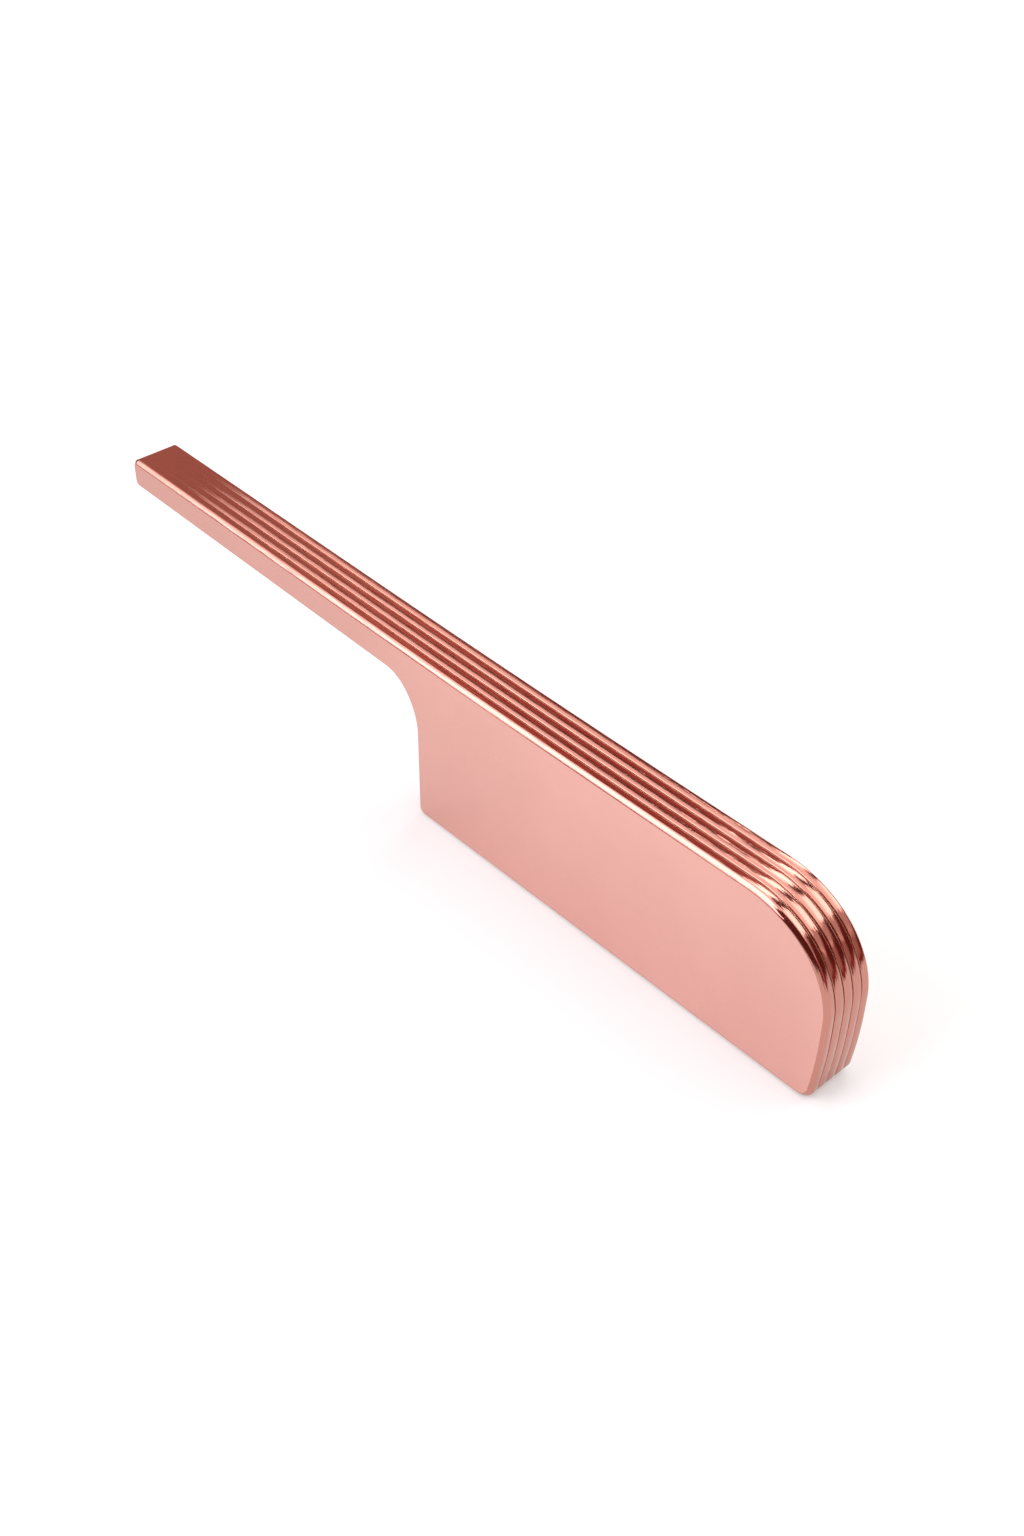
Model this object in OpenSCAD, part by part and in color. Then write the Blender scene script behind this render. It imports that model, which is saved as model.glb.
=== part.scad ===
// Laminated cuticle pusher: five metal leaves of one outline, dowelled and brazed face to face.
// X runs along the tool to the nose, Y through the stack and Z up from the blade's bottom edge.
// The origin is on the bottom edge's plane, under the middle of the whole tool.

/* [Tool] */
// Overall length from the handle's end to the nose
tool_length = 120; // [110:1:140]
// Height of the blade from its bottom edge to its spine
blade_height = 23.1; // [20:0.1:26]
// Distance from the handle's end to the blade's upright shoulder
handle_length = 57.3; // [50:0.1:62]

/* [Leaves] */
// Thickness of one leaf
leaf_thickness = 1.32; // [1.2:0.01:1.6]
// Thickness of the braze foil between two leaves
foil_thickness = 0.04; // [0.03:0.01:0.08]
// Radius of the shallow crown on each leaf's edge, seen across its thickness
crown_radius = 1.15; // [1:0.05:3]
// Radius of the rounding where an outer leaf's edge meets its outer side
arris_radius = 0.55; // [0.4:0.01:0.6]

/* [Handle] */
// Height of the handle at its end
handle_end_height = 4.1; // [3.6:0.1:5]
// Height of the handle's underside where it runs into the shoulder
shoulder_top = 18.8; // [16:0.1:18.9]
// How far the handle's end rises above the line of the blade's spine
handle_rise = 1.6; // [0.8:0.1:2.4]
// Radius of the long bend where the spine passes from blade to handle
spine_bend_radius = 2200; // [1500:100:2400]
// Radius of the handle end's two corners
handle_corner_radius = 1.1; // [0.9:0.1:1.5]

/* [Shoulder] */
// Radius of the hollow under the handle, next to the handle
hollow_upper_radius = 4.6; // [4:0.1:6]
// Radius of the hollow under the handle, next to the shoulder
hollow_lower_radius = 7.9; // [6:0.1:10]
// Slope of the hollow where its two radii meet
hollow_slope = 50; // [40:1:60]
// Radius of the shoulder's bottom corner
shoulder_corner_radius = 1.1; // [0.9:0.1:2]

/* [Nose] */
// Radius of the nose's upper corner, next to the spine
nose_upper_radius = 13.2; // [11:0.1:15]
// Radius of the nose's upper corner, next to the nose's front
nose_front_radius = 10.9; // [9:0.1:12]
// Slope of the nose's upper corner where its two radii meet
nose_slope = 65; // [55:1:75]
// Angle by which the nose's front falls back towards the bottom edge
nose_lean = 6.8; // [4:0.1:8]
// Height at which the nose's front begins to fall back
nose_lean_height = 6.5; // [6.2:0.1:7]
// Radius of the gentle bend in the nose's front
nose_bend_radius = 65; // [40:1:68]
// Radius of the nose's bottom corner
nose_corner_radius = 2; // [1:0.1:2.2]

/* [Dowels] */
// Diameter of the two dowels in the blade
blade_dowel_diameter = 2; // [1.5:0.1:3]
// Diameter of the two dowels in the handle
handle_dowel_diameter = 1.2; // [1:0.1:1.5]
// Depth of each blind hole in an outer leaf
blind_depth = 0.8; // [0.5:0.05:0.9]

/* [Hidden] */
$fn = 96;
leaf_count = 5;
leaf_pitch = leaf_thickness + foil_thickness;
stack_thickness = leaf_count * leaf_thickness + (leaf_count - 1) * foil_thickness;

// Places along X of the handle's end, the shoulder and the nose
end_x = -tool_length / 2;
shoulder_x = end_x + handle_length;
nose_x = tool_length / 2;

// The outline is a polygon with a radius at each corner, listed anticlockwise as [x, z, radius].
// A double curve is two corners on a chord that leaves each of them along its own tangent.
function tangent(radius, turn) = radius * tan(turn / 2);
bottom_nose_x = nose_x - nose_lean_height * tan(nose_lean);
nose_chord = tangent(nose_front_radius, nose_slope) + tangent(nose_upper_radius, 90 - nose_slope);
spine_bend_x = 8.8;
underside_end = blade_height + handle_rise - handle_end_height;
underside_slope = (underside_end - shoulder_top) / handle_length;
hollow_chord = tangent(hollow_upper_radius, hollow_slope - atan(underside_slope))
    + tangent(hollow_lower_radius, 90 - hollow_slope);
hollow_x = shoulder_x - hollow_chord * cos(hollow_slope);
hollow_z = underside_end - underside_slope * (hollow_x - end_x);
corners = [
    [shoulder_x, 0, shoulder_corner_radius],
    [bottom_nose_x, 0, nose_corner_radius],
    [nose_x, nose_lean_height, nose_bend_radius],
    [nose_x, blade_height - nose_chord * cos(nose_slope), nose_front_radius],
    [nose_x - nose_chord * sin(nose_slope), blade_height, nose_upper_radius],
    [spine_bend_x, blade_height, spine_bend_radius],
    [end_x, blade_height + handle_rise, handle_corner_radius],
    [end_x, underside_end, handle_corner_radius],
    [hollow_x, hollow_z, hollow_upper_radius],
    [shoulder_x, hollow_z - hollow_chord * sin(hollow_slope), hollow_lower_radius]
];

// Each corner becomes an arc: [centre, radius (negative when hollow), first normal's angle, turn].
function heading(a, b) = atan2(b[1] - a[1], b[0] - a[0]);
function signed_angle(a) = a > 180 ? a - 360 : a < -180 ? a + 360 : a;
function arc_at(i) = let (
    before = corners[(i + len(corners) - 1) % len(corners)],
    corner = corners[i],
    after = corners[(i + 1) % len(corners)],
    way_in = heading(before, corner),
    turn = signed_angle(heading(corner, after) - way_in),
    radius = sign(turn) * corner[2],
    start = [corner[0], corner[1]] - tangent(corner[2], abs(turn)) * [cos(way_in), sin(way_in)]
) [start + radius * [-sin(way_in), cos(way_in)], radius, way_in - 90, turn];
arcs = [for (i = [0 : len(corners) - 1]) arc_at(i)];

// Point of an arc at a part of its turn, moved inwards by an inset
function arc_point(arc, part, inset) = let (angle = arc[2] + part * arc[3])
    arc[0] + (arc[1] - inset) * [cos(angle), sin(angle)];

// Sheet cut to the outline moved inwards, lying on the XY plane
arc_steps = 12;
module sheet(inset, thickness) {
    linear_extrude(thickness)
        polygon([for (arc = arcs, step = [0 : arc_steps]) arc_point(arc, step / arc_steps, inset)]);
}

// A leaf's crowned edge is cut in levels, each further in from its sides and further out at its edge.
crown_depths = [0, 0, 0.25, 0.5];
arris_depths = [0, 0.12, 0.32, 0.5];
function crown_inset(depth) = crown_radius - sqrt(crown_radius ^ 2 - (leaf_thickness / 2 - depth) ^ 2);
function arris_inset(depth) = arris_radius - sqrt(arris_radius ^ 2 - (arris_radius - depth) ^ 2);
level_insets = [
    arris_inset((arris_depths[0] + arris_depths[1]) / 2),
    crown_inset((crown_depths[1] + crown_depths[2]) / 2),
    crown_inset((crown_depths[2] + crown_depths[3]) / 2),
    0
];
foil_inset = crown_inset(0);

// Leaf without its holes. Its bottom or its top is an outer side of the stack, or neither is.
module leaf_blank(outer_bottom, outer_top) {
    for (k = [outer_bottom || outer_top ? 0 : 1 : len(level_insets) - 1]) {
        from = outer_bottom ? arris_depths[k] : crown_depths[k];
        to = leaf_thickness - (outer_top ? arris_depths[k] : crown_depths[k]);
        translate([0, 0, from]) sheet(level_insets[k], to - from);
    }
}

// Dowels: [x, z, diameter]
blade_front_place = [44, 9, blade_dowel_diameter];
blade_rear_place = [8, 9, blade_dowel_diameter];
handle_front_place = [-18, 21.2, handle_dowel_diameter];
handle_rear_place = [-50, 22.5, handle_dowel_diameter];
dowel_places = [blade_front_place, blade_rear_place, handle_front_place, handle_rear_place];
hole_clearance = 0.02;
dowel_chamfer = 0.15;
dowel_end_gap = 0.05;
dowel_length = stack_thickness - 2 * (leaf_thickness - blind_depth) - 2 * dowel_end_gap;

// Holes for all dowels over a stretch of the stack's thickness
module dowel_holes(from, to) {
    for (place = dowel_places)
        translate([place[0], place[1], from])
            cylinder(h = to - from, r = place[2] / 2 + hole_clearance);
}

// Turns a leaf or foil from lying flat to standing up in its place in the stack
module stand(y) {
    translate([0, y, 0]) rotate([90, 0, 0]) children();
}

// Side of the stack that faces left of a leaf, counted from the right-hand leaf
function leaf_left_y(index) = -stack_thickness / 2 + index * leaf_pitch + leaf_thickness;

module inner_leaf(index) {
    color([0.93, 0.66, 0.60])
        stand(leaf_left_y(index))
            difference() {
                leaf_blank(false, false);
                dowel_holes(-1, leaf_thickness + 1);
            }
}

// In a leaf lying flat, the bottom is the side that will face left. Outer leaves have blind holes.
module right_outer_leaf() {
    color([0.93, 0.66, 0.60])
        stand(leaf_left_y(0))
            difference() {
                leaf_blank(false, true);
                dowel_holes(-1, blind_depth);
            }
}

module left_outer_leaf() {
    color([0.93, 0.66, 0.60])
        stand(leaf_left_y(leaf_count - 1))
            difference() {
                leaf_blank(true, false);
                dowel_holes(leaf_thickness - blind_depth, leaf_thickness + 1);
            }
}

module foil(index) {
    color([0.80, 0.58, 0.42])
        stand(leaf_left_y(index) + foil_thickness)
            difference() {
                sheet(foil_inset, foil_thickness);
                dowel_holes(-1, foil_thickness + 1);
            }
}

module dowel(place) {
    radius = place[2] / 2;
    color([0.72, 0.72, 0.74])
        translate([place[0], dowel_length / 2, place[1]]) rotate([90, 0, 0])
            rotate_extrude()
                polygon([[0, 0], [radius - dowel_chamfer, 0], [radius, dowel_chamfer],
                         [radius, dowel_length - dowel_chamfer],
                         [radius - dowel_chamfer, dowel_length], [0, dowel_length]]);
}

module right_inner_leaf() { inner_leaf(1); }
module centre_leaf() { inner_leaf(2); }
module left_inner_leaf() { inner_leaf(3); }
module right_outer_foil() { foil(0); }
module right_inner_foil() { foil(1); }
module left_inner_foil() { foil(2); }
module left_outer_foil() { foil(3); }
module blade_front_dowel() { dowel(blade_front_place); }
module blade_rear_dowel() { dowel(blade_rear_place); }
module handle_front_dowel() { dowel(handle_front_place); }
module handle_rear_dowel() { dowel(handle_rear_place); }

right_outer_leaf();
right_inner_leaf();
centre_leaf();
left_inner_leaf();
left_outer_leaf();
right_outer_foil();
right_inner_foil();
left_inner_foil();
left_outer_foil();
blade_front_dowel();
blade_rear_dowel();
handle_front_dowel();
handle_rear_dowel();
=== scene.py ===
import bmesh
import bpy
import numpy as np
from mathutils import Matrix, Vector
from mathutils.geometry import tessellate_polygon


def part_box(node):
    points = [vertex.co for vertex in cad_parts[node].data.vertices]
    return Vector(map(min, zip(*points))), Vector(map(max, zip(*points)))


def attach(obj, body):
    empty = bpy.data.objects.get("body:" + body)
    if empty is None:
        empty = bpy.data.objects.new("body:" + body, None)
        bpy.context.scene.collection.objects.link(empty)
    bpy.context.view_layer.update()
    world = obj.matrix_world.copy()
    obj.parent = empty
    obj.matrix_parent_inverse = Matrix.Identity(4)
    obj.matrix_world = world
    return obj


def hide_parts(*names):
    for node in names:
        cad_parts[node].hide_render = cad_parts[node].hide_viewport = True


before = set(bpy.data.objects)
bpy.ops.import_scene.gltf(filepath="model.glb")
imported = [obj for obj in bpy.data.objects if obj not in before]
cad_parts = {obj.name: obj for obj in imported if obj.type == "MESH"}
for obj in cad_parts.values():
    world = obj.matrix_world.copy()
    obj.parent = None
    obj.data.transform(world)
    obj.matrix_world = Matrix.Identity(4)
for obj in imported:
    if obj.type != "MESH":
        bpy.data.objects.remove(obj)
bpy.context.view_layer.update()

# ---------------------------------------------------------------------------------------------------
# The five leaves. Each is a sheet steel blank cut to the same outline, its edge ground to a low crown
# and polished, its side faces satin. The stack is dowelled, brazed face to face and plated in rose
# gold. The crowns and the fine open joints run out towards the handle's end and at the bottom edge.
# ---------------------------------------------------------------------------------------------------
MM = 0.001

# The outline's sizes: places and radii in millimetres, slopes and leans in degrees. The tool stands
# on the blade's bottom edge, at z 0.
END_X = -60.0
SHOULDER_X = -2.7
NOSE_X = 60.0
BLADE_TOP = 23.1
HANDLE_TOP = 24.7
HANDLE_BOTTOM = 20.6
SHOULDER_TOP = 18.8
HANDLE_CORNER = 1.1
HOLLOW_UPPER = 4.6
HOLLOW_LOWER = 7.9
HOLLOW_SLOPE = 50.0
SPINE_BEND_X = 8.8
SPINE_BEND = 2200.0
NOSE_UPPER = 13.2
NOSE_FRONT = 10.9
NOSE_SLOPE = 65.0
NOSE_LEAN = 6.8
NOSE_LEAN_TOP = 6.5
NOSE_SWELL = 65.0
HEEL_ROUND = 1.1
TOE_ROUND = 2.0


def tangent(radius, turn):
    """Distance from a corner to where its arc begins: radius times the tangent of half the turn."""
    return radius * np.tan(np.radians(turn) / 2)


def unit(degrees):
    """Unit vector at an angle: its cosine and its sine."""
    return np.array([np.cos(np.radians(degrees)), np.sin(np.radians(degrees))])


underside_slope = (HANDLE_BOTTOM - SHOULDER_TOP) / (SHOULDER_X - END_X)
hollow_turn = HOLLOW_SLOPE - np.degrees(np.arctan(underside_slope))
hollow_chord = tangent(HOLLOW_UPPER, hollow_turn) + tangent(HOLLOW_LOWER, 90 - HOLLOW_SLOPE)
hollow_x = SHOULDER_X - hollow_chord * unit(HOLLOW_SLOPE)[0]
hollow_z = HANDLE_BOTTOM - underside_slope * (hollow_x - END_X)
nose_chord = tangent(NOSE_FRONT, NOSE_SLOPE) + tangent(NOSE_UPPER, 90 - NOSE_SLOPE)

# Corners of the outline, anticlockwise from the blade's heel: [x, z, radius]
outline_corners = np.array([
    [SHOULDER_X, 0, HEEL_ROUND],
    [NOSE_X - NOSE_LEAN_TOP * np.tan(np.radians(NOSE_LEAN)), 0, TOE_ROUND],
    [NOSE_X, NOSE_LEAN_TOP, NOSE_SWELL],
    [NOSE_X, BLADE_TOP - nose_chord * unit(NOSE_SLOPE)[0], NOSE_FRONT],
    [NOSE_X - nose_chord * unit(NOSE_SLOPE)[1], BLADE_TOP, NOSE_UPPER],
    [SPINE_BEND_X, BLADE_TOP, SPINE_BEND],
    [END_X, HANDLE_TOP, HANDLE_CORNER],
    [END_X, HANDLE_BOTTOM, HANDLE_CORNER],
    [hollow_x, hollow_z, HOLLOW_UPPER],
    [SHOULDER_X, hollow_z - hollow_chord * unit(HOLLOW_SLOPE)[1], HOLLOW_LOWER],
])


def corner_arc(before, corner, after, longest_step, widest_turn):
    """Arc that rounds a corner and touches the straight runs beside it: the centre plus the radius
    times a normal that turns from one run's to the other's. The radius is negative in a hollow."""
    way_in = np.degrees(np.arctan2(*(corner - before)[1::-1]))
    way_out = np.degrees(np.arctan2(*(after - corner)[1::-1]))
    turn = (way_out - way_in + 180) % 360 - 180
    arc_length = np.radians(abs(turn)) * corner[2]
    radius = np.sign(turn) * corner[2]
    start = corner[:2] - tangent(corner[2], abs(turn)) * unit(way_in)
    centre = start + radius * np.array([-unit(way_in)[1], unit(way_in)[0]])
    steps = int(np.ceil(max(abs(turn) / widest_turn, arc_length / longest_step)))
    normals = unit(way_in - 90 + turn * np.linspace(0, 1, steps + 1)).T
    return centre + radius * normals, normals


def outline_path(corners, longest_step, widest_turn, same_place):
    """Closed path round the leaf: an arc at each corner, then a straight run to the next one's arc.
    Returns points, outward normals and the distance walked, one row a point. A point no further
    than same_place from the one before it is left out."""
    ahead = np.roll(corners, -1, axis=0)
    behind = np.roll(corners, 1, axis=0)
    arcs = [corner_arc(*three, longest_step, widest_turn) for three in zip(behind, corners, ahead)]
    points = []
    normals = []
    for (arc, normal), (next_arc, _) in zip(arcs, arcs[1:] + arcs[:1]):
        steps = int(np.linalg.norm(next_arc[0] - arc[-1]) / longest_step) + 1
        parts = np.linspace(0, 1, steps + 1)[1:-1, None]
        points += [arc, arc[-1] * (1 - parts) + next_arc[0] * parts]
        normals += [normal, np.repeat(normal[-1:], len(parts), axis=0)]
    points = np.concatenate(points)
    normals = np.concatenate(normals)
    apart = np.linalg.norm(points - np.roll(points, 1, axis=0), axis=1) > same_place
    points, normals = points[apart], normals[apart]
    walked = np.concatenate([[0], np.cumsum(np.linalg.norm(np.diff(points, axis=0), axis=1))])
    return points, normals, walked


leaf_points, leaf_normals, leaf_walked = outline_path(
    outline_corners, longest_step=1.5, widest_turn=3.0, same_place=1e-6)

# The edge seen across one leaf, in millimetres and degrees: a small round at each joint, and a low
# crown between them. A lean is the angle between the surface's normal and the outline's. A sink is
# how far a point lies below the outline: the joint's floor, and where the flat side begins.
STEEL_HALF = 0.66
JOINT_MIDDLE = 0.68
JOINT_OPENING = 0.12
JOINT_HALF = JOINT_MIDDLE - JOINT_OPENING / 2
JOINT_LEANS = [90.0, 13.0, 0.0]
JOINT_ROUND = 0.19
ROUND_STEPS = 9
CROWN_STEPS = 7
JOINT_SINK = 0.36
FLAT_SINK = 0.75

# An outer leaf's outer arris is a softened chamfer, and takes more than its half of the edge.
ARRIS_LEANS = [90.0, 60.0, 38.0, 0.0]
ARRIS_RADII = [0.22, 1.46, 0.2]
ARRIS_STEPS = [6, 7, 8]


def half_edge(leans, radii, steps, outside):
    """Half of a leaf's edge, from its side to its top, as a chain of arcs from one lean to the next.
    Across and height are running sums of each radius times the change in sine and in cosine. They
    come back as the place across, counted down from the outside, and the sink below the top."""
    across = [np.zeros(1)]
    height = [np.zeros(1)]
    for first, last, radius, count in zip(leans[:-1], leans[1:], radii, steps):
        lean = np.radians(np.linspace(first, last, count + 1)[1:])
        across.append(across[-1][-1] + radius * (np.sin(np.radians(first)) - np.sin(lean)))
        height.append(height[-1][-1] + radius * (np.cos(lean) - np.cos(np.radians(first))))
    height = np.concatenate(height)
    return outside - np.concatenate(across), height[-1] - height


def half_at_joint(width):
    """Half of an edge beside a joint, in the rows of leaf_profile: the flat side, the joint's floor
    and wall, a small round, and a crown whose radius fills the width left. Where the joint has no
    opening, the half is stretched in proportion until it reaches the joint's middle."""
    sines = np.sin(np.radians(JOINT_LEANS))
    crown_radius = (width - JOINT_ROUND * (sines[0] - sines[1])) / sines[1]
    across, sink = half_edge(
        JOINT_LEANS, [JOINT_ROUND, crown_radius], [ROUND_STEPS, CROWN_STEPS], JOINT_HALF)
    stretch = (JOINT_MIDDLE - JOINT_HALF) * (across - across[-1]) / (across[0] - across[-1])
    crown = np.minimum(sink, sink[ROUND_STEPS])
    return np.vstack([
        [STEEL_HALF, FLAT_SINK, 0, 0, 0],
        [STEEL_HALF, JOINT_SINK, 0, 0, 0],
        [JOINT_MIDDLE, JOINT_SINK, 0, 0, JOINT_HALF - JOINT_MIDDLE],
        np.column_stack([across + stretch, 0 * sink, crown, sink - crown, -stretch]),
    ])


arris_across, arris_sink = half_edge(ARRIS_LEANS, ARRIS_RADII, ARRIS_STEPS, STEEL_HALF)
arris_rows = np.column_stack([arris_across, arris_sink, np.zeros((len(arris_sink), 3))])
arris_half = np.vstack([[STEEL_HALF, FLAT_SINK, 0, 0, 0], arris_rows])
inner_half = half_at_joint(JOINT_HALF)
beside_arris = half_at_joint(JOINT_HALF + arris_across[-1])


def leaf_profile(outer_side):
    """Rows of [across, sink, crown's sink, joint's sink, joint's opening] from the right side plane to
    the left one. The last three columns are multiplied by how much of the crown or the joint is left
    at a place along the path, then added to the first two, so that the joint closes as it runs out."""
    right = {"right": arris_half, "left": beside_arris}.get(outer_side, inner_half)
    left = {"left": arris_half, "right": beside_arris}.get(outer_side, inner_half)
    return np.vstack([right * [-1, 1, 1, 1, -1], left[:-1][::-1]])


# Where the crown and the joint run out along the handle, and above the blade's bottom edge.
CROWN_GONE_X = -57.0
CROWN_FULL_X = -36.0
JOINT_GONE_X = -50.0
JOINT_FULL_X = -28.0
GROUND_Z = 0.3
FULL_Z = 2.2


def smooth_step(value, low, high):
    """None below low and all above high, with three times the square less twice the cube between."""
    part = np.clip((value - low) / (high - low), 0, 1)
    return part * part * (3 - 2 * part)


def edge_left(gone_x, full_x):
    """How much of the crown or the joint is left at each point of the path: the smooth step along the
    handle times the one above the bottom edge, which is ground flat."""
    along_handle = smooth_step(leaf_points[:, 0], gone_x, full_x)
    return along_handle * smooth_step(leaf_points[:, 1], GROUND_Z, FULL_Z)


def edge_surface(profile, middle):
    """The leaf's edge as a grid, a row for each point of the profile and a column for each of the
    path. A point is the path's, less the sink along its normal, and the middle plus the place
    across."""
    across, flat, crown, joint, opening = profile.T[:, :, None]
    crown_left = edge_left(CROWN_GONE_X, CROWN_FULL_X)
    joint_left = edge_left(JOINT_GONE_X, JOINT_FULL_X)
    sink = flat + crown * crown_left + joint * joint_left
    place = leaf_points[None] - sink[..., None] * leaf_normals[None]
    return np.stack([place[..., 0], middle + across + opening * joint_left, place[..., 1]], axis=-1)


def edge_uv(across):
    """UV of the corners of the grid's faces: the distance walked along the edge, and the place across
    the whole stack, both in millimetres. The last face ends at one whole walk, not back at zero."""
    whole_walk = leaf_walked[-1] + np.linalg.norm(leaf_points[0] - leaf_points[-1])
    run = np.broadcast_to(leaf_walked, across[1:].shape)
    run_on = np.broadcast_to(np.append(leaf_walked[1:], whole_walk), across[1:].shape)
    corners = [(run, across[:-1]), (run_on, across[:-1]), (run_on, across[1:]), (run, across[1:])]
    return np.stack([np.stack(corner, axis=-1) for corner in corners], axis=2).reshape(-1, 2)


# The dowel holes: radii a little wider than the dowels, and the depth into an outer leaf.
HOLE_RADII = {
    "blade_front_dowel": 1.02,
    "blade_rear_dowel": 1.02,
    "handle_front_dowel": 0.62,
    "handle_rear_dowel": 0.62,
}
HOLE_SIDES = 32
BLIND_DEPTH = 0.8


def hole_ring(dowel, radius, level):
    """Ring of points at one level across the stack: the dowel's axis plus the radius times a unit
    vector at evenly spaced angles."""
    low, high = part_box(dowel)
    axis = np.array([low.x + high.x, low.z + high.z]) / 2 / MM
    ring = axis + radius * unit(360 * np.arange(HOLE_SIDES) / HOLE_SIDES).T
    return np.column_stack([ring[:, 0], np.full(HOLE_SIDES, level), ring[:, 1]])


def leaf_shell(grid, middle, outer_side):
    """Points and faces of a closed leaf: its edge's surface, a flat face on each side, and a hole for
    each dowel from one side to the other, or one that stops short of an outer leaf's outer side."""
    rows, columns = grid.shape[:2]
    index = np.arange(rows * columns).reshape(rows, columns)
    turned = np.roll(index, -1, axis=1)
    faces = np.stack([index[:-1], turned[:-1], turned[1:], index[1:]], axis=-1).reshape(-1, 4).tolist()
    points = [grid.reshape(-1, 3)]
    used = rows * columns
    rims = {"right": [index[0]], "left": [index[-1]]}
    for dowel, radius in HOLE_RADII.items():
        rings = {}
        for side, outwards in [("right", -1), ("left", 1)]:
            depth = BLIND_DEPTH - STEEL_HALF if side == outer_side else STEEL_HALF
            points.append(hole_ring(dowel, radius, middle + outwards * depth))
            rings[side] = used + np.arange(HOLE_SIDES)
            used += HOLE_SIDES
        right, left = rings["right"], rings["left"]
        faces += np.stack([right, left, np.roll(left, -1), np.roll(right, -1)], axis=-1).tolist()
        for side, ring in rings.items():
            if side == outer_side:
                faces.append(ring.tolist())
            else:
                rims[side].append(ring)
    points = np.concatenate(points)
    for loops in rims.values():
        corners = [[Vector((x, z, 0)) for x, _, z in points[loop]] for loop in loops]
        faces += np.concatenate(loops)[np.array(tessellate_polygon(corners))].tolist()
    return points, faces


# The order of a leaf's two materials, and the angle in degrees past which faces meet sharply.
POLISHED_SLOT = 0
SATIN_SLOT = 1
SHARP_ANGLE = 35


def build_leaf(node_name, outer_side):
    """One leaf as an object at its node's place across the stack. The UV of its edge is edge_uv's,
    and that of its flat faces and holes is their place in x and z, in millimetres."""
    low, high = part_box(node_name)
    middle = (low.y + high.y) / 2 / MM
    grid = edge_surface(leaf_profile(outer_side), middle)
    points, faces = leaf_shell(grid, middle, outer_side)
    mesh = bpy.data.meshes.new(node_name)
    mesh.from_pydata((points * MM).tolist(), [], faces)
    edge_corners = edge_uv(grid[..., 1])
    loop_vertex = np.zeros(len(mesh.loops), int)
    mesh.loops.foreach_get("vertex_index", loop_vertex)
    loop_uv = points[loop_vertex][:, [0, 2]]
    loop_uv[:len(edge_corners)] = edge_corners
    mesh.uv_layers.new(name="edge_run").data.foreach_set("uv", loop_uv.ravel())

    # The rows beside the side planes and every face after the grid belong to the satin sides.
    rows, columns = grid.shape[:2]
    finish = np.full(len(faces), SATIN_SLOT)
    finish[columns:(rows - 2) * columns] = POLISHED_SLOT
    mesh.polygons.foreach_set("material_index", finish)
    shell = bmesh.new()
    shell.from_mesh(mesh)
    bmesh.ops.recalc_face_normals(shell, faces=shell.faces)
    shell.to_mesh(mesh)
    shell.free()
    mesh.shade_smooth()
    mesh.set_sharp_from_angle(angle=np.radians(SHARP_ANGLE))
    leaf = bpy.data.objects.new("plated_" + node_name, mesh)
    bpy.context.scene.collection.objects.link(leaf)
    return leaf


def material(name):
    """New node material and its shader, with two functions: fill gives an input its value, or links
    it when the value is an output socket, and add makes a node and fills the inputs it names."""
    made = bpy.data.materials.new(name)
    made.use_nodes = True
    tree = made.node_tree

    def fill(target, key, value):
        socket = target.inputs[int(key)] if key.isdigit() else target.inputs[key]
        if isinstance(value, bpy.types.NodeSocket):
            tree.links.new(value, socket)
        else:
            socket.default_value = value

    def add(kind, settings=None, **inputs):
        new = tree.nodes.new("ShaderNode" + kind)
        for key, value in (settings or {}).items():
            setattr(new, key, value)
        for key, value in inputs.items():
            fill(new, key.replace("_", " "), value)
        return new

    return made, tree.nodes["Principled BSDF"], add, fill


def on_piece(add, scale=(1000, 1000, 1000)):
    """Place on the tool, with each axis times its own scale: in millimetres unless told otherwise."""
    return add("Mapping", None, Vector=add("TexCoord").outputs["Object"], Scale=scale).outputs["Vector"]


def noise(add, place, scale, detail, roughness):
    """Value of a layered noise at a place, mostly between 0.25 and 0.75."""
    return add("TexNoise", None, Vector=place, Scale=scale, Detail=detail, Roughness=roughness).outputs[0]


def ramp(add, value, from_range, to_range):
    """A value carried from one range to another along a straight line, held at both ends."""
    return add(
        "MapRange", None, Value=value, From_Min=from_range[0], From_Max=from_range[1],
        To_Min=to_range[0], To_Max=to_range[1]).outputs["Result"]


def between(add, part, first, second, kind="MIX"):
    """Colour that is the first at part 0, and at part 1 the second, or with kind MULTIPLY the product
    of both."""
    colours = {"0": part, "6": first, "7": second}
    return add("Mix", {"data_type": "RGBA", "blend_type": kind}, **colours).outputs[2]


# Satin side faces: a fine even grain in the roughness, faint clouds in the plating's colour, and a
# painted shade that darkens them towards the handle's end.
SATIN_ROSE = (0.77, 0.434, 0.378, 1)
SATIN_DEEP = (0.74, 0.412, 0.358, 1)
# Colour of the painted shade multiplied into the satin at the handle's end.
HANDLE_PAINTED_SHADE = (0.74, 0.68, 0.65, 1)
satin, shader, add, fill = material("rose_gold_satin")
clouds = noise(add, on_piece(add), scale=0.06, detail=3.0, roughness=0.5)
grain = noise(add, on_piece(add), scale=3.0, detail=4.0, roughness=0.65)
plating = between(add, ramp(add, clouds, (0.35, 0.65), (0.0, 1.0)), SATIN_ROSE, SATIN_DEEP)
tool_x = add("SeparateXYZ", None, Vector=add("TexCoord").outputs["Object"]).outputs["X"]
# Painted shade: the satin's colour is multiplied darker from x 0.02 to x -0.06 towards the handle's end.
painted_shade_to_handle = ramp(add, tool_x, (0.02, -0.06), (0.0, 1.0))
fill(shader, "Base Color", between(add, painted_shade_to_handle, plating, HANDLE_PAINTED_SHADE, "MULTIPLY"))
fill(shader, "Metallic", 1.0)
fill(shader, "Roughness", ramp(add, grain, (0.3, 0.7), (0.20, 0.28)))
grain_bump = add("Bump", None, Strength=0.05, Distance=0.00002, Height=grain)
fill(shader, "Normal", grain_bump.outputs["Normal"])

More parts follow.
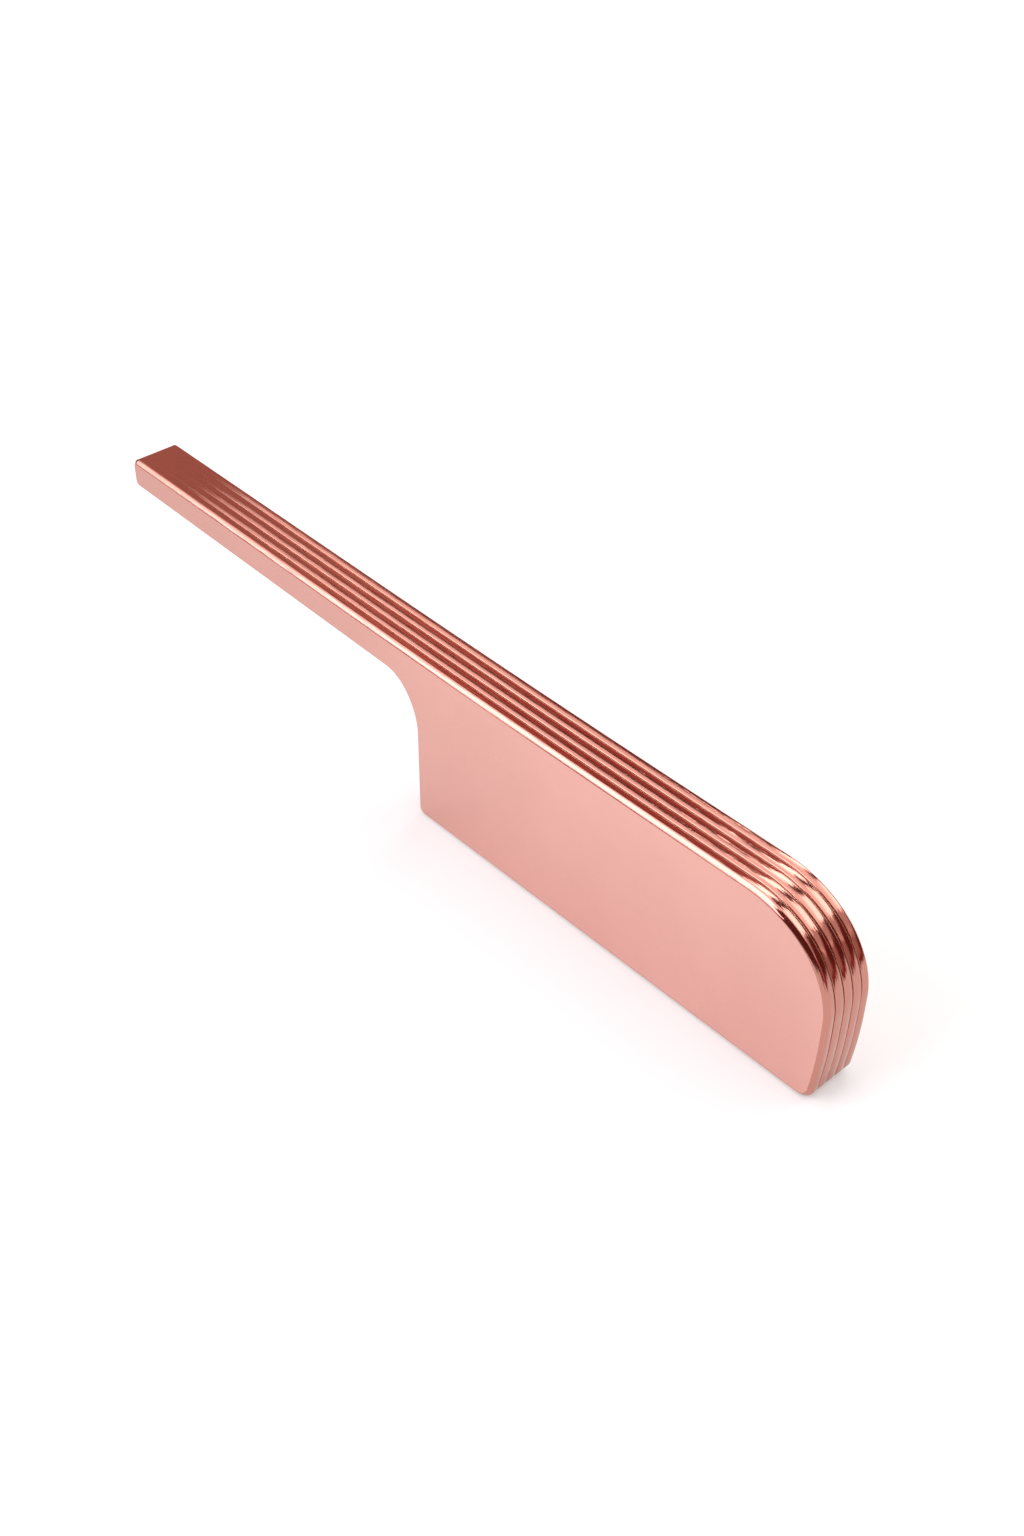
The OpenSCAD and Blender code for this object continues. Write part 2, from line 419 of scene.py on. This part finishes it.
# Polished edges: lapped lengthwise, so fine streaks run along the edge. Each streak turns the light
# a little along the run and across it.
POLISHED_ROSE = (0.535, 0.25, 0.20, 1)
POLISHED_DEEP = (0.50, 0.222, 0.175, 1)
LANE_SCALE = (0.3, 7.0, 1.0)
HAIR_SCALE = (0.04, 16.0, 1.0)
HAIR_SHIFT = (7.0, 3.0, 0.0)
polished, shader, add, fill = material("rose_gold_polished")
edge = add("UVMap", {"uv_map": "edge_run"}).outputs["UV"]
lane_map = add("Mapping", None, Vector=edge, Scale=LANE_SCALE).outputs["Vector"]
lanes = noise(add, lane_map, scale=1.0, detail=4.0, roughness=0.75)
hair_map = add("Mapping", None, Vector=edge, Scale=HAIR_SCALE, Location=HAIR_SHIFT).outputs["Vector"]
hairs = noise(add, hair_map, scale=1.0, detail=2.0, roughness=0.5)
tilt_run = ramp(add, lanes, (0.25, 0.75), (0.45, 0.55))
tilt_across = ramp(add, hairs, (0.25, 0.75), (0.482, 0.518))
facing = add("CombineXYZ", None, X=tilt_run, Y=tilt_across, Z=1.0).outputs[0]
lapped = add("NormalMap", {"uv_map": "edge_run"}, Strength=1.0, Color=facing)
lengthwise = add("Tangent", {"direction_type": "UV_MAP", "uv_map": "edge_run"})
edge_plating = between(add, ramp(add, hairs, (0.3, 0.7), (0.0, 1.0)), POLISHED_ROSE, POLISHED_DEEP)
fill(shader, "Base Color", edge_plating)
fill(shader, "Metallic", 1.0)
fill(shader, "Roughness", ramp(add, lanes, (0.3, 0.7), (0.12, 0.17)))
fill(shader, "Anisotropic", 0.75)
fill(shader, "Anisotropic Rotation", 0.25)
fill(shader, "Tangent", lengthwise.outputs[0])
fill(shader, "Normal", lapped.outputs["Normal"])

for node_name, outer_side in [
    ("right_outer_leaf", "right"), ("right_inner_leaf", ""), ("centre_leaf", ""),
    ("left_inner_leaf", ""), ("left_outer_leaf", "left"),
]:
    leaf = build_leaf(node_name, outer_side)
    leaf.data.materials.append(polished)
    leaf.data.materials.append(satin)
    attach(leaf, "root")
    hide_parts(node_name)

# ---------------------------------------------------------------------------------------------------
# The four braze foils. Copper braze melts between the leaves and sets as a thin matt sheet, whose
# edge stands inside each joint. The foils keep the frame's own meshes.
# ---------------------------------------------------------------------------------------------------
COPPER_BRIGHT = (0.80, 0.55, 0.38, 1)
COPPER_DULL = (0.52, 0.27, 0.17, 1)
copper, shader, add, fill = material("copper_braze")
flow = noise(add, on_piece(add), scale=0.8, detail=5.0, roughness=0.6)
tarnish = between(add, ramp(add, flow, (0.35, 0.65), (0.0, 1.0)), COPPER_BRIGHT, COPPER_DULL)
fill(shader, "Base Color", tarnish)
fill(shader, "Metallic", 1.0)
fill(shader, "Roughness", ramp(add, flow, (0.3, 0.7), (0.42, 0.65)))
flow_bump = add("Bump", None, Strength=0.3, Distance=0.00001, Height=flow)
fill(shader, "Normal", flow_bump.outputs["Normal"])
for node_name in ["right_outer_foil", "right_inner_foil", "left_inner_foil", "left_outer_foil"]:
    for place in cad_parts[node_name].material_slots:
        place.material = copper

# ---------------------------------------------------------------------------------------------------
# The four dowels. Ground steel pins, blind in the outer leaves, that keep the leaves in line. The
# grinding leaves fine rings round each pin, and its ends are chamfered.
# ---------------------------------------------------------------------------------------------------
STEEL_DARK = (0.56, 0.56, 0.58, 1)
STEEL_LIGHT = (0.66, 0.66, 0.67, 1)
RING_SCALE = (500, 30000, 500)
ground, shader, add, fill = material("ground_steel")
grinding = noise(add, on_piece(add, RING_SCALE), scale=1.0, detail=3.0, roughness=0.6)
steel_tone = between(add, ramp(add, grinding, (0.3, 0.7), (0.0, 1.0)), STEEL_DARK, STEEL_LIGHT)
fill(shader, "Base Color", steel_tone)
fill(shader, "Metallic", 1.0)
fill(shader, "Roughness", ramp(add, grinding, (0.3, 0.7), (0.25, 0.4)))
ring_bump = add("Bump", None, Strength=0.2, Distance=0.00001, Height=grinding)
fill(shader, "Normal", ring_bump.outputs["Normal"])
for node_name in HOLE_RADII:
    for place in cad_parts[node_name].material_slots:
        place.material = ground

# ---------------------------------------------------------------------------------------------------
# Studio: a white light table that glows, softboxes overhead and in front, dim warm boxes at the
# sides and back, and two low dark flags. The room is dark and warm, but white to the camera.
# ---------------------------------------------------------------------------------------------------
scene = bpy.context.scene
scene.view_settings.view_transform = "Standard"
scene.view_settings.look = "None"


def flat_sheet(name, corners, finish):
    """Flat sheet with four corners and one finish."""
    mesh = bpy.data.meshes.new(name)
    mesh.from_pydata(corners, [], [(0, 1, 2, 3)])
    mesh.materials.append(finish)
    sheet = bpy.data.objects.new(name, mesh)
    scene.collection.objects.link(sheet)
    return sheet


# The light table, in metres. It glows more away from the tool, where less light falls on it.
TABLE_HALF = 3.0
TABLE_WHITE = (0.55, 0.60, 0.605, 1)
table_top, shader, add, fill = material("white_light_table")
from_tool = add("VectorMath", {"operation": "LENGTH"}, Vector=add("TexCoord").outputs["Object"])
fill(shader, "Base Color", TABLE_WHITE)
fill(shader, "Roughness", 0.9)
fill(shader, "Specular IOR Level", 0.0)
fill(shader, "Emission Color", (1, 1, 1, 1))
fill(shader, "Emission Strength", ramp(add, from_tool.outputs["Value"], (0.35, 1.1), (0.32, 1.0)))
floor = flat_sheet("floor", [
    (-TABLE_HALF, -TABLE_HALF, 0), (TABLE_HALF, -TABLE_HALF, 0),
    (TABLE_HALF, TABLE_HALF, 0), (-TABLE_HALF, TABLE_HALF, 0),
], table_top)

ROOM_COLOUR = (0.15, 0.028, 0.022, 1)
world = bpy.data.worlds.new("room")
scene.world = world
world.use_nodes = True
tree = world.node_tree
room = tree.nodes["Background"]
room.inputs["Color"].default_value = ROOM_COLOUR
sky = tree.nodes.new("ShaderNodeBackground")
sky.inputs["Color"].default_value = (1, 1, 1, 1)
seen = tree.nodes.new("ShaderNodeLightPath")
either = tree.nodes.new("ShaderNodeMixShader")
tree.links.new(seen.outputs["Is Camera Ray"], either.inputs[0])
tree.links.new(room.outputs[0], either.inputs[1])
tree.links.new(sky.outputs[0], either.inputs[2])
tree.links.new(either.outputs[0], tree.nodes["World Output"].inputs["Surface"])


def softbox(name, place, aim, width, height, radiance, colour=(1.0, 1.0, 1.0)):
    """Area light at a place, facing an aim. Its power is radiance times pi times its area."""
    light = bpy.data.lights.new(name, "AREA")
    light.shape = "RECTANGLE"
    light.size = width
    light.size_y = height
    light.energy = radiance * np.pi * width * height
    light.color = colour
    box = bpy.data.objects.new(name, light)
    turn = (Vector(place) - Vector(aim)).to_track_quat("Z", "Y").to_matrix().to_4x4()
    box.matrix_world = Matrix.Translation(place) @ turn
    box.visible_camera = False
    scene.collection.objects.link(box)


# Metres: the ceiling's height, and the front boxes' distance, middle height and size.
CEILING = 0.9
FRONT = 1.0
FRONT_HEIGHT = 0.88
FRONT_WIDE = 1.1
FRONT_TALL = 1.14


def ceiling_box(name, left, right, near, far, radiance, colour=(1, 1, 1)):
    """Softbox in the ceiling. Its borders are slopes seen from the tool: run over rise."""
    middle = ((left + right) / 2 * CEILING, (near + far) / 2 * CEILING, CEILING)
    below = (middle[0], middle[1], 0)
    softbox(name, middle, below, (right - left) * CEILING, (far - near) * CEILING, radiance, colour)


def front_box(name, across, radiance, colour):
    """Softbox that stands upright in front of the tool, with its middle at a place across."""
    middle = (across, -FRONT, FRONT_HEIGHT)
    ahead = (across, 0, FRONT_HEIGHT)
    softbox(name, middle, ahead, FRONT_WIDE, FRONT_TALL, radiance, colour)


ceiling_box(
    "overhead", left=-0.95, right=0.9, near=-0.62, far=0.52, radiance=1.65, colour=(1.0, 0.97, 0.95))
ceiling_box("overhead_left", left=-1.35, right=-0.95, near=-0.62, far=0.52, radiance=1.2)
ceiling_box(
    "overhead_far_right", left=0.9, right=2.1, near=-0.62, far=1.3, radiance=0.72,
    colour=(1.0, 0.86, 0.82))
ceiling_box("back_strip_left", left=-0.52, right=-0.13, near=0.52, far=1.9, radiance=4.2)
ceiling_box("back_strip_right", left=0.14, right=0.85, near=0.52, far=1.8, radiance=3.3)
front_box("front", across=-0.55, radiance=5.0, colour=(1.0, 0.85, 0.93))
front_box("front_left", across=-1.65, radiance=3.1, colour=(1.0, 0.88, 0.92))
softbox(
    "warm_left", place=(-1.45, 0.68, 0.5), aim=(0, 0, 0.2), width=1.2, height=1.4, radiance=1.0,
    colour=(0.42, 0.24, 0.20))
softbox(
    "warm_back", place=(-0.73, 1.43, 0.5), aim=(0, 0, 0.2), width=1.1, height=1.4, radiance=1.0,
    colour=(0.44, 0.10, 0.08))
softbox(
    "warm_right", place=(1.3, -0.05, 0.40), aim=(0, 0, 0.1), width=1.5, height=0.72, radiance=1.0,
    colour=(0.47, 0.29, 0.25))

# Two low flags of dark velvet stand behind the tool and past its nose. Only reflections see them.
VELVET_DARK = (0.22, 0.025, 0.018, 1)
VELVET_LIGHT = (0.28, 0.035, 0.026, 1)
velvet, shader, add, fill = material("dark_velvet")
pile = noise(add, add("TexCoord").outputs["Object"], scale=900.0, detail=2.0, roughness=0.5)
fill(shader, "Base Color", between(add, pile, VELVET_DARK, VELVET_LIGHT))
fill(shader, "Roughness", 1.0)
fill(shader, "Specular IOR Level", 0.0)
for name, first, last, top in [
    ("back_flag", (-0.16, 0.07), (0.10, 0.07), 0.04),
    ("nose_flag", (0.16, 0.25), (0.16, -0.10), 0.020),
]:
    flag = flat_sheet(name, [(*first, 0), (*last, 0), (*last, top), (*first, top)], velvet)
    flag.visible_camera = False
    flag.visible_diffuse = False
    flag.visible_shadow = False

# The camera stands past the nose on the tool's right and looks down on it.
FOCAL_MM = 42.63
SENSOR_MM = 36.0
CAMERA_PLACE = (0.12869, -0.10910, 0.14498)
azimuth = np.radians(47.298)
elevation = np.radians(39.354)
roll = np.radians(0.374)
camera_data = bpy.data.cameras.new("camera")
camera_data.sensor_fit = "VERTICAL"
camera_data.sensor_height = SENSOR_MM
camera_data.lens = FOCAL_MM
camera_data.clip_start = 0.01
camera_data.clip_end = 20.0
camera = bpy.data.objects.new("camera", camera_data)
level_back = [np.sin(azimuth) * np.cos(elevation), -np.cos(azimuth) * np.cos(elevation)]
back = np.array([*level_back, np.sin(elevation)])
right = np.array([np.cos(azimuth), np.sin(azimuth), 0])
up = np.cross(back, right)
right, up = np.cos(roll) * right + np.sin(roll) * up, np.cos(roll) * up - np.sin(roll) * right
turn = Matrix(np.column_stack([right, up, back]).tolist()).to_4x4()
camera.matrix_world = Matrix.Translation(CAMERA_PLACE) @ turn
scene.collection.objects.link(camera)
scene.camera = camera
